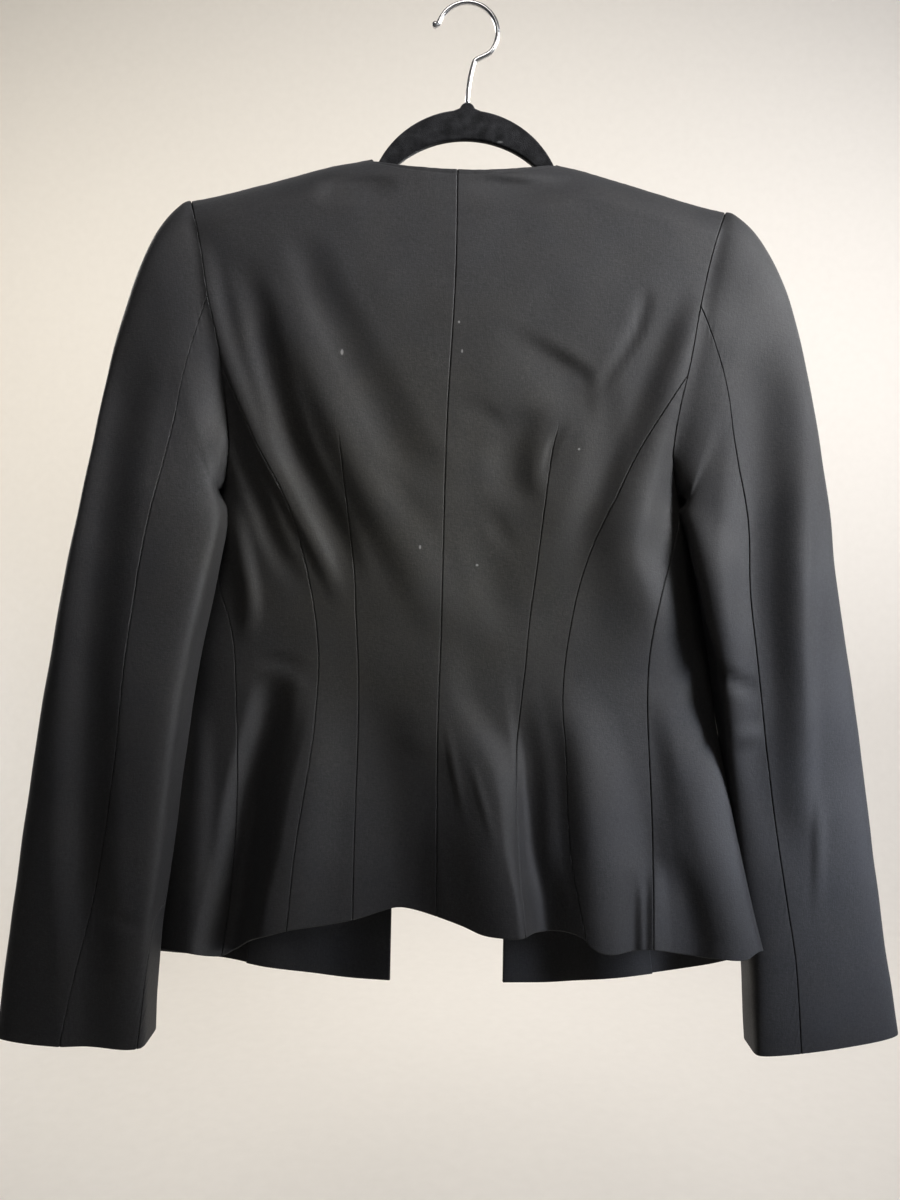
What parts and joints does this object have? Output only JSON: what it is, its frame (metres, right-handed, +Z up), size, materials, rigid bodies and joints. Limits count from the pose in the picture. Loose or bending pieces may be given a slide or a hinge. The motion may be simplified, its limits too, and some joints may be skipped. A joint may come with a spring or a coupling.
{
  "type": "blazer on a hanger",
  "caption": "Fitted collarless black blazer with seamed back, flared peplum hem and long two-piece sleeves, hung open on a slim flocked hanger with a wire hook.",
  "frame": {"origin": "inside top of the hanger's hook, where a rail carries it", "axes": "+Z up, +Y towards the jacket's open front, +X towards the wearer's right"},
  "size_m": [0.6357, 0.0982, 0.7468],
  "materials": {
    "twill": "matte black suiting twill with a faint sheen",
    "flock": "matte black flock",
    "wire": "polished chrome wire"
  },
  "bodies": {
    "root": {"back_left": "twill", "back_right": "twill", "side_back_left": "twill", "side_back_right": "twill", "front_left": "twill", "front_right": "twill", "facing_left": "twill", "facing_right": "twill", "top_sleeve_left": "twill", "top_sleeve_right": "twill", "under_sleeve_left": "twill", "under_sleeve_right": "twill", "hanger_body": "flock", "hanger_hook": "wire"}
  },
  "joints": []
}
